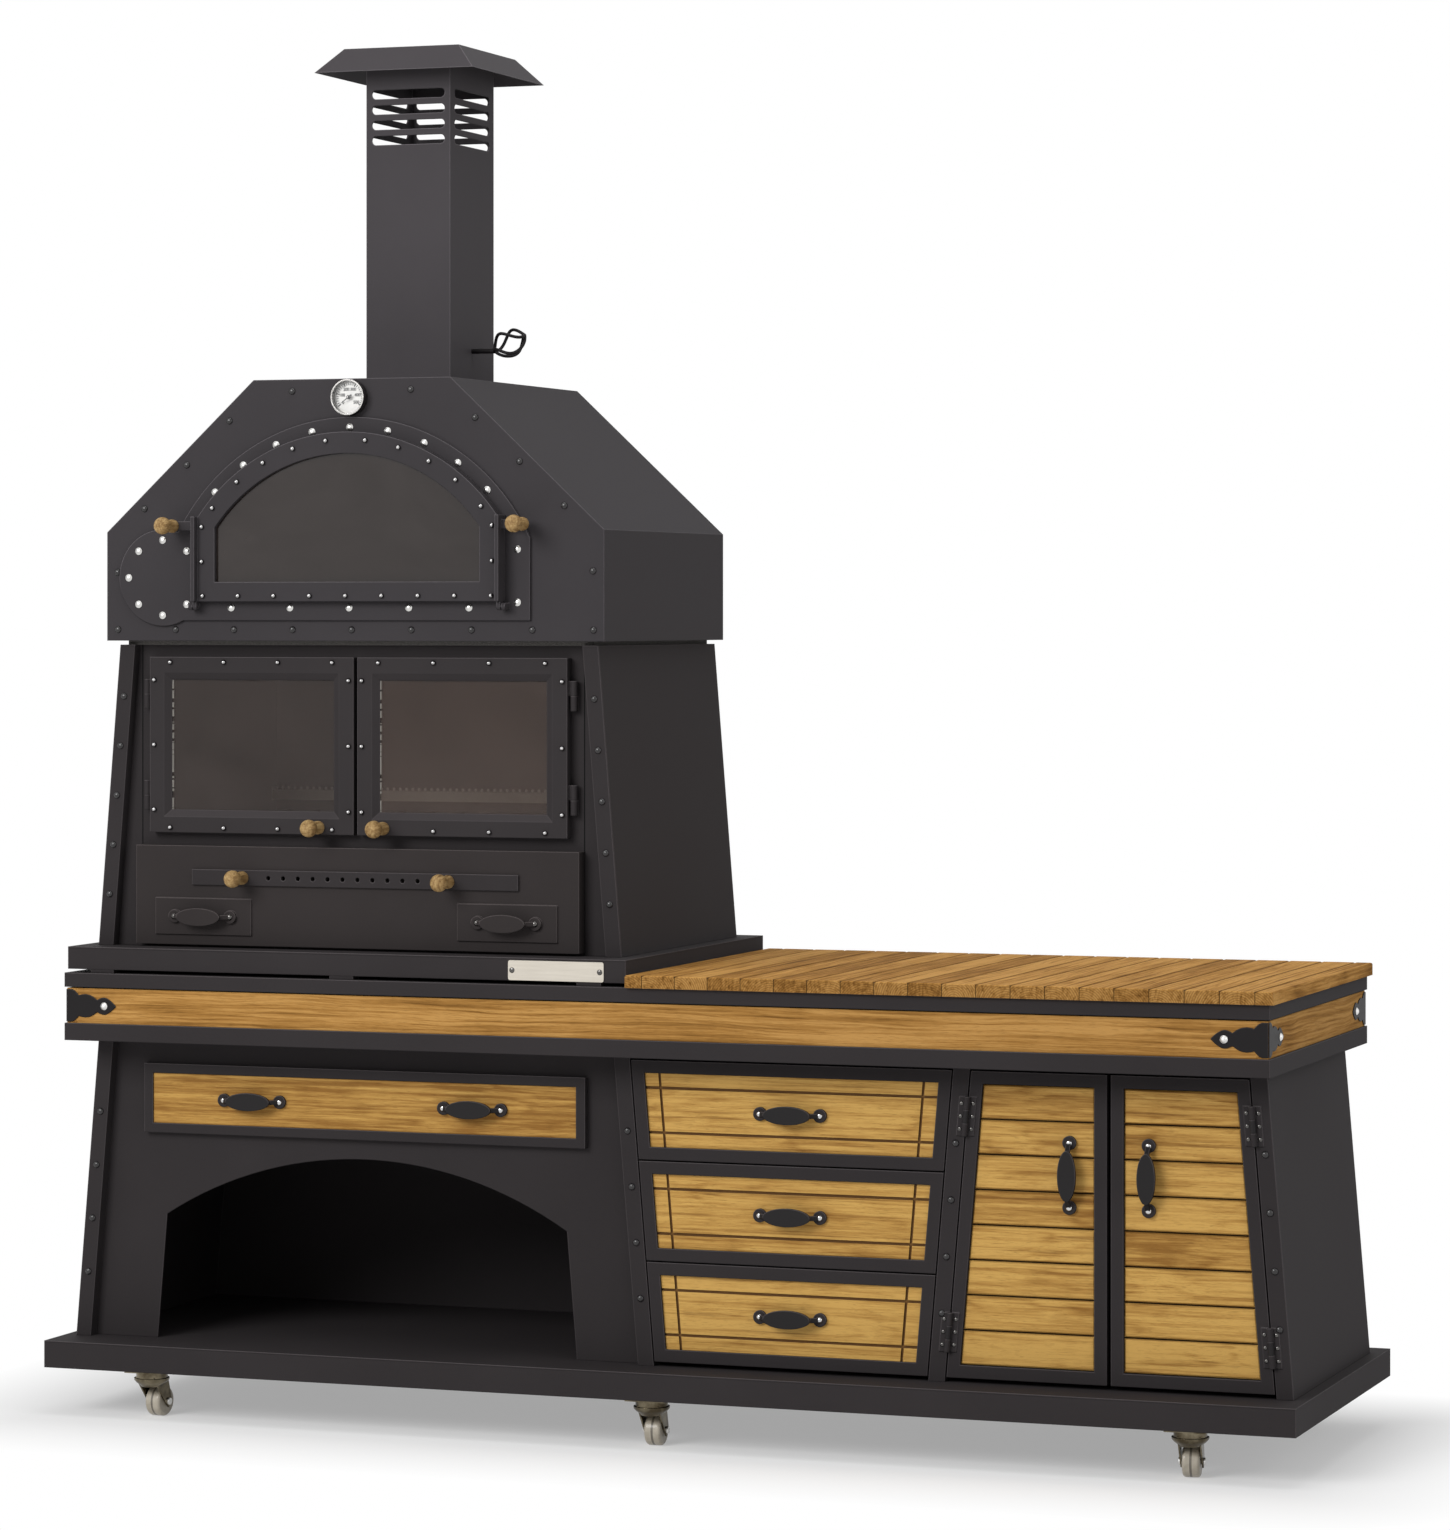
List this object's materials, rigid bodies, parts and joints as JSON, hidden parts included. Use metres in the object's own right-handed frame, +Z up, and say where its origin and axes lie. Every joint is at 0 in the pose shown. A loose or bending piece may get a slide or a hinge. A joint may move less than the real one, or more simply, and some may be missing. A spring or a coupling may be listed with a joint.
{
  "type": "outdoor kitchen",
  "caption": "Outdoor kitchen on castors: wood-fired oven with arched drop door over a glazed firebox, plank worktop, log bay, drawers and slatted cupboard.",
  "frame": {"origin": "on the floor under the middle of the overall box", "axes": "+X to the right along the front, +Y to the back, +Z up; the doors and drawers face -Y"},
  "size_m": [2.53, 0.8296, 2.71],
  "materials": {
    "charcoal_steel": "satin charcoal powder coat",
    "zinc_steel": "yellow zinc plate",
    "grey_tyre": "grey moulded tread",
    "brown_wood": "oiled golden brown boards",
    "golden_wood": "varnished golden yellow boards",
    "knob_wood": "turned light wood",
    "smoked_glass": "smoked heat-proof glass",
    "clear_glass": "clear",
    "fire_iron": "raw black iron",
    "oven_steel": "heat-stained steel",
    "baking_stone": "fired clay slab",
    "fibre_seal": "woven heat-proof fibre",
    "bright_steel": "polished steel",
    "red_needle": "red enamel"
  },
  "bodies": {
    "kitchen": {"plinth": "charcoal_steel", "caster_plates": "zinc_steel", "base_panels": "charcoal_steel", "log_bay_front": "charcoal_steel", "corner_strips": "charcoal_steel", "lower_rail": "charcoal_steel", "upper_rail": "charcoal_steel", "band_boards": "brown_wood", "worktop_planks": "brown_wood", "oven_tray": "charcoal_steel", "stand_panels": "charcoal_steel", "stand_front": "charcoal_steel", "hood_seal": "fibre_seal", "firebox": "fire_iron", "hood_shell": "charcoal_steel", "oven_surround": "charcoal_steel", "oven_chamber": "oven_steel", "oven_floor": "baking_stone", "chimney": "charcoal_steel", "chimney_cap": "charcoal_steel", "thermometer_case": "bright_steel", "thermometer_lens": "clear_glass"},
    "oven_door": {"oven_door_frame": "charcoal_steel", "oven_door_glass": "smoked_glass", "oven_door_knobs": "knob_wood"},
    "fire_door_left": {"fire_door_left_frame": "charcoal_steel", "fire_door_left_glass": "smoked_glass", "fire_door_left_knob": "knob_wood"},
    "fire_door_right": {"fire_door_right_frame": "charcoal_steel", "fire_door_right_glass": "smoked_glass", "fire_door_right_knob": "knob_wood"},
    "ash_drawer": {"ash_drawer": "charcoal_steel"},
    "air_slide": {"air_slide": "charcoal_steel", "air_slide_knobs": "knob_wood"},
    "damper": {"damper": "charcoal_steel"},
    "thermometer_needle": {"thermometer_needle": "red_needle"},
    "log_drawer": {"log_drawer_box": "charcoal_steel", "log_drawer_panel": "golden_wood"},
    "drawer_1": {"drawer_1_box": "charcoal_steel", "drawer_1_panel": "golden_wood"},
    "drawer_2": {"drawer_2_box": "charcoal_steel", "drawer_2_panel": "golden_wood"},
    "drawer_3": {"drawer_3_box": "charcoal_steel", "drawer_3_panel": "golden_wood"},
    "cupboard_door_left": {"left_door_frame": "charcoal_steel", "left_door_slats": "golden_wood"},
    "cupboard_door_right": {"right_door_frame": "charcoal_steel", "right_door_slats": "golden_wood"},
    "castor_1": {"caster_fork_1": "zinc_steel"},
    "castor_wheel_1": {"caster_wheel_1": "grey_tyre"},
    "castor_2": {"caster_fork_2": "zinc_steel"},
    "castor_wheel_2": {"caster_wheel_2": "grey_tyre"},
    "castor_3": {"caster_fork_3": "zinc_steel"},
    "castor_wheel_3": {"caster_wheel_3": "grey_tyre"},
    "castor_4": {"caster_fork_4": "zinc_steel"},
    "castor_wheel_4": {"caster_wheel_4": "grey_tyre"},
    "castor_5": {"caster_fork_5": "zinc_steel"},
    "castor_wheel_5": {"caster_wheel_5": "grey_tyre"},
    "castor_6": {"caster_fork_6": "zinc_steel"},
    "castor_wheel_6": {"caster_wheel_6": "grey_tyre"}
  },
  "joints": [
    {"name": "oven_door_hinge", "type": "hinge", "parent": "kitchen", "child": "oven_door", "pos_m": [-0.625, -0.35025, 1.597], "axis": [1, 0, 0], "range_deg": [0, 90]},
    {"name": "fire_door_left_hinge", "type": "hinge", "parent": "kitchen", "child": "fire_door_left", "pos_m": [-1.079, -0.29575, 1.325], "axis": [0, 0, -1], "range_deg": [0, 105]},
    {"name": "fire_door_right_hinge", "type": "hinge", "parent": "kitchen", "child": "fire_door_right", "pos_m": [-0.171, -0.29575, 1.325], "axis": [0, 0, 1], "range_deg": [0, 105]},
    {"name": "ash_drawer_slide", "type": "slide", "parent": "kitchen", "child": "ash_drawer", "axis": [0, -1, 0], "range_m": [0, 0.3]},
    {"name": "air_slide_travel", "type": "slide", "parent": "ash_drawer", "child": "air_slide", "axis": [1, 0, 0], "range_m": [0, 0.016]},
    {"name": "damper_turn", "type": "hinge", "parent": "kitchen", "child": "damper", "pos_m": [-0.625, 0.05775, 2.11], "axis": [1, 0, 0], "range_deg": [0, 90]},
    {"name": "thermometer_needle_turn", "type": "hinge", "parent": "kitchen", "child": "thermometer_needle", "pos_m": [-0.625, -0.33625, 2.003], "axis": [0, 1, 0], "range_deg": [0, 250]},
    {"name": "log_drawer_slide", "type": "slide", "parent": "kitchen", "child": "log_drawer", "axis": [0, -1, 0], "range_m": [0, 0.34]},
    {"name": "drawer_1_slide", "type": "slide", "parent": "kitchen", "child": "drawer_1", "axis": [0, -1, 0], "range_m": [0, 0.36]},
    {"name": "drawer_2_slide", "type": "slide", "parent": "kitchen", "child": "drawer_2", "axis": [0, -1, 0], "range_m": [0, 0.36]},
    {"name": "drawer_3_slide", "type": "slide", "parent": "kitchen", "child": "drawer_3", "axis": [0, -1, 0], "range_m": [0, 0.36]},
    {"name": "cupboard_door_left_hinge", "type": "hinge", "parent": "kitchen", "child": "cupboard_door_left", "pos_m": [0.59837, -0.29575, 0.444], "axis": [-0.0837, 0, -0.9965], "range_deg": [0, 95]},
    {"name": "cupboard_door_right_hinge", "type": "hinge", "parent": "kitchen", "child": "cupboard_door_right", "pos_m": [1.18163, -0.29575, 0.444], "axis": [-0.0837, 0, 0.9965], "range_deg": [0, 95]},
    {"name": "castor_1_swivel", "type": "hinge", "parent": "kitchen", "child": "castor_1", "pos_m": [-1.055, -0.32625, 0.095], "axis": [0, 0, 1], "continuous": true},
    {"name": "castor_1_roll", "type": "hinge", "parent": "castor_1", "child": "castor_wheel_1", "pos_m": [-1.05207, -0.2984, 0.029], "axis": [0.9945, -0.1045, 0], "continuous": true},
    {"name": "castor_2_swivel", "type": "hinge", "parent": "kitchen", "child": "castor_2", "pos_m": [0, -0.32625, 0.095], "axis": [0, 0, 1], "continuous": true},
    {"name": "castor_2_roll", "type": "hinge", "parent": "castor_2", "child": "castor_wheel_2", "pos_m": [-0.00146, -0.29829, 0.029], "axis": [0.9986, 0.0523, 0], "continuous": true},
    {"name": "castor_3_swivel", "type": "hinge", "parent": "kitchen", "child": "castor_3", "pos_m": [1.055, -0.32625, 0.095], "axis": [0, 0, 1], "continuous": true},
    {"name": "castor_3_roll", "type": "hinge", "parent": "castor_3", "child": "castor_wheel_3", "pos_m": [1.0511, -0.29852, 0.029], "axis": [0.9903, 0.1392, 0], "continuous": true},
    {"name": "castor_4_swivel", "type": "hinge", "parent": "kitchen", "child": "castor_4", "pos_m": [-1.055, 0.34975, 0.095], "axis": [0, 0, 1], "continuous": true},
    {"name": "castor_4_roll", "type": "hinge", "parent": "castor_4", "child": "castor_wheel_4", "pos_m": [-1.08205, 0.357, 0.029], "axis": [0.2588, 0.9659, 0], "continuous": true},
    {"name": "castor_5_swivel", "type": "hinge", "parent": "kitchen", "child": "castor_5", "pos_m": [0, 0.34975, 0.095], "axis": [0, 0, 1], "continuous": true},
    {"name": "castor_5_roll", "type": "hinge", "parent": "castor_5", "child": "castor_wheel_5", "pos_m": [-0.02631, 0.34017, 0.029], "axis": [-0.342, 0.9397, 0], "continuous": true},
    {"name": "castor_6_swivel", "type": "hinge", "parent": "kitchen", "child": "castor_6", "pos_m": [1.055, 0.34975, 0.095], "axis": [0, 0, 1], "continuous": true},
    {"name": "castor_6_roll", "type": "hinge", "parent": "castor_6", "child": "castor_wheel_6", "pos_m": [1.08131, 0.35933, 0.029], "axis": [0.342, -0.9397, 0], "continuous": true}
  ]
}
